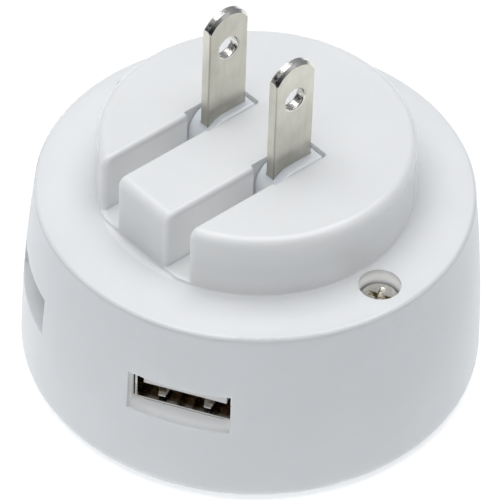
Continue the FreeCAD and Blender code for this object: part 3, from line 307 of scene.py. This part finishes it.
def socket_shell(name):
    """Tin-plated shell: bright lip and spring tips; deeper inside, painted dark shade and a
    painted reflection of the gold contacts.
    """
    s = Surface(name)

    # All four ports are mirror images, so one pair of folded axes follows every socket
    x = s.maths("ABSOLUTE", s.axis(s.place, "X"))
    y = s.maths("ABSOLUTE", s.axis(s.place, "Y"))
    cosine, sine = math.cos(PORT_TURN), math.sin(PORT_TURN)
    outward = s.maths("ADD", s.maths("MULTIPLY", x, cosine), s.maths("MULTIPLY", y, sine))
    sideways = s.maths("ABSOLUTE", s.maths("SUBTRACT", s.maths("MULTIPLY", x, sine),
                                           s.maths("MULTIPLY", y, cosine)))

    lip = s.spread(outward, 0.0, 1.0, start=PORT_FRONT - 0.7 * MM, end=PORT_FRONT - 0.25 * MM)
    raised = s.band(s.axis(s.place, "Z"), PORT_FLOOR + 0.35 * MM, PORT_FLOOR + 1.3 * MM,
                    soft=0.05 * MM)
    tips = s.spread(outward, 0.0, 1.0, start=PORT_FRONT - 2.6 * MM, end=PORT_FRONT - 1.7 * MM)
    springs = s.maths("MULTIPLY", s.band(sideways, SPRING_INNER, SPRING_OUTER), raised)
    springs = s.maths("MULTIPLY", springs, tips)

    marks = s.noise(scale=1500, detail=4, roughness=0.65)
    # Painted shade and painted reflection of the gold contacts: a dark warm tone on the tin deeper
    # inside than the lip and the spring tips
    painted_inner_shade = s.colours(marks, (0.35, (0.12, 0.075, 0.04)), (0.7, (0.52, 0.36, 0.18)))
    bright = s.colours(marks, (0.3, (0.68, 0.67, 0.65)), (0.7, (0.84, 0.83, 0.80)))
    s.set(Base_Color=s.blend(s.maths("MAXIMUM", lip, springs), painted_inner_shade, bright), Metallic=1.0,
          Roughness=s.spread(marks, 0.16, 0.32))
    s.bump(marks, 0.004 * MM)
    return s.material


def circuit_board(name):
    """Dark green solder mask over a faint grid of tracks."""
    s = Surface(name)
    weave = s.add("ShaderNodeTexChecker", Scale=420, Vector=s.place).outputs["Fac"]
    s.set(Base_Color=s.colours(weave, (0.2, (0.006, 0.030, 0.014)), (0.8, (0.010, 0.045, 0.020))),
          Roughness=s.spread(s.noise(scale=500, detail=2), 0.28, 0.42))
    s.bump(weave, 0.02 * MM)
    return s.material


# Material slot: the function that makes its finish, the darker and the lighter colour, and then
# what the function asks for
FINISHES = {
    # The shells' last value is how strong their painted fill light is
    "housing_plastic": (shell_plastic, (0.715, 0.735, 0.745), (0.735, 0.755, 0.765), 0.30, 0.19),
    "cover_plastic": (shell_plastic, (0.745, 0.755, 0.760), (0.765, 0.775, 0.780), 0.24, 0.21),
    "barrel_plastic": (translucent_plastic,),
    "blade_nickel": (nickel_blade,),
    "inner_plastic": (moulded_plastic, (0.62, 0.61, 0.58), (0.68, 0.67, 0.64), 0.5),
    "screw_steel": (screw_head,),
    "spring_steel": (plated_metal, (0.42, 0.42, 0.42), (0.6, 0.6, 0.6), 0.25, 0.4),
    "contact_bronze": (plated_metal, (0.5, 0.3, 0.14), (0.7, 0.46, 0.25), 0.2, 0.4),
    "board_laminate": (circuit_board,),
    "shell_steel": (socket_shell,),
    "tongue_plastic": (moulded_plastic, (0.80, 0.80, 0.78), (0.84, 0.84, 0.82), 0.4),
    "contact_gold": (plated_metal, (0.72, 0.52, 0.2), (0.85, 0.66, 0.3), 0.15, 0.3),
    "ferrite": (moulded_plastic, (0.02, 0.02, 0.022), (0.045, 0.045, 0.05), 0.6, 0.01 * MM),
    "component_black": (moulded_plastic, (0.012, 0.012, 0.013), (0.025, 0.025, 0.027), 0.45),
    "winding_tape": (moulded_plastic, (0.66, 0.46, 0.04), (0.74, 0.53, 0.07), 0.3),
    "capacitor_sleeve": (moulded_plastic, (0.012, 0.014, 0.03), (0.02, 0.024, 0.045), 0.22),
    "can_aluminium": (plated_metal, (0.62, 0.63, 0.64), (0.74, 0.75, 0.76), 0.2, 0.35),
    "copper_wire": (plated_metal, (0.55, 0.22, 0.08), (0.75, 0.36, 0.16), 0.2, 0.35),
    "safety_blue": (moulded_plastic, (0.03, 0.09, 0.35), (0.05, 0.13, 0.45), 0.3),
}
finishes = {slot: make(slot, *values) for slot, (make, *values) in FINISHES.items()}
for part in frame["record"]["subparts"]:
    mesh = frame["nodes"][part["node"]].data
    mesh.materials.clear()
    mesh.materials.append(finishes[part["material_slot"]])


# ---------------------------------------------------------------- studio

def make_floor(half_width, gap):
    """White paper a hair below the part, glowing weakly round it so that no shadow shows."""
    low = cad_box[0].z - gap
    corners = [(x * half_width, y * half_width, low)
               for x, y in ((-1, -1), (1, -1), (1, 1), (-1, 1))]
    mesh = bpy.data.meshes.new("studio_floor")
    mesh.from_pydata(corners, [], [(0, 1, 2, 3)])
    floor = bpy.data.objects.new("studio_floor", mesh)
    bpy.context.scene.collection.objects.link(floor)
    s = Surface("studio_floor")
    clouds = s.noise(scale=6, detail=2)
    s.set(Base_Color=s.colours(clouds, (0.3, (0.91, 0.915, 0.92)), (0.7, (0.93, 0.935, 0.94))),
          Roughness=0.9, Emission_Color=(1, 1, 1, 1),
          Emission_Strength=s.spread(s.radius(), 0.36, 0.08, start=30 * MM, end=44 * MM))
    mesh.materials.append(s.material)


def soft_box(name, centre, size, power, colour=(1, 1, 1)):
    """Rectangular lamp that faces the part."""
    light = bpy.data.lights.new(name, "AREA")
    light.shape = "RECTANGLE"
    light.size, light.size_y = size
    light.energy = power
    light.color = colour
    lamp = bpy.data.objects.new(name, light)
    lamp.location = centre
    lamp.rotation_mode = "QUATERNION"
    middle = Vector((0, 0, 20 * MM))
    lamp.rotation_quaternion = (middle - Vector(centre)).to_track_quat("-Z", "Y")
    bpy.context.scene.collection.objects.link(lamp)


def make_sky(dark, horizon, zenith, dark_side):
    """Studio walls: dark low down on one side, paler all round, bright overhead."""
    world = bpy.data.worlds.new("studio")
    bpy.context.scene.world = world
    world.use_nodes = True
    sky = Nodes(world.node_tree)
    direction = sky.add("ShaderNodeTexCoord").outputs["Generated"]
    towards = sky.add("ShaderNodeVectorMath")
    towards.operation = "DOT_PRODUCT"
    for socket, value in zip(towards.inputs, (direction, dark_side)):
        sky.feed(socket, value)
    side = sky.spread(towards.outputs["Value"], 0.0, 1.0, start=0.45, end=0.85)
    lift = sky.spread(sky.axis(direction, "Z"), 0.0, 1.0, start=0.25, end=0.95)
    whole = sky.blend(lift, sky.blend(side, horizon, dark), zenith)
    sky.feed(sky.nodes["Background"].inputs["Color"], whole)


def make_camera():
    """Long lens, a little over 40 degrees above the table, off the blades' -Y side."""
    azimuth, elevation, roll = math.radians(-42.456), math.radians(43.41), math.radians(2.102)
    aim = Vector((3.96, -4.16, 20.94)) * MM
    distance = 650.5 * MM
    back = Vector((math.cos(azimuth) * math.cos(elevation),
                   math.sin(azimuth) * math.cos(elevation), math.sin(elevation)))
    level = Vector((-math.sin(azimuth), math.cos(azimuth), 0))
    up = back.cross(level)
    right = math.cos(roll) * level + math.sin(roll) * up
    over = math.cos(roll) * up - math.sin(roll) * level
    data = bpy.data.cameras.new("camera")
    data.sensor_width = 36
    data.lens = 365.1
    data.clip_start, data.clip_end = 0.05, 20
    camera = bpy.data.objects.new("camera", data)
    turn = Matrix((right, over, back)).transposed().to_4x4()
    camera.matrix_world = Matrix.Translation(aim + back * distance) @ turn
    bpy.context.scene.collection.objects.link(camera)
    bpy.context.scene.camera = camera


make_floor(half_width=3.0, gap=0.02 * MM)
make_sky(dark=(0.03, 0.03, 0.035), horizon=(0.24, 0.25, 0.27), zenith=(0.42, 0.43, 0.45),
         dark_side=(0.85, -0.52, 0.0))
soft_box("overhead_box", centre=(-0.12, 0.06, 1.1), size=(1.2, 1.0), power=10.3)
soft_box("front_box", centre=(0.25, -0.80, 0.74), size=(0.5, 0.4), power=1.0)
soft_box("left_box", centre=(-0.95, -0.45, 0.6), size=(0.6, 0.5), power=0.4,
         colour=(0.95, 0.98, 1.0))
soft_box("right_box", centre=(0.9, 0.35, 0.6), size=(0.6, 0.5), power=0.3)
make_camera()
bpy.context.scene.view_settings.view_transform = "Standard"
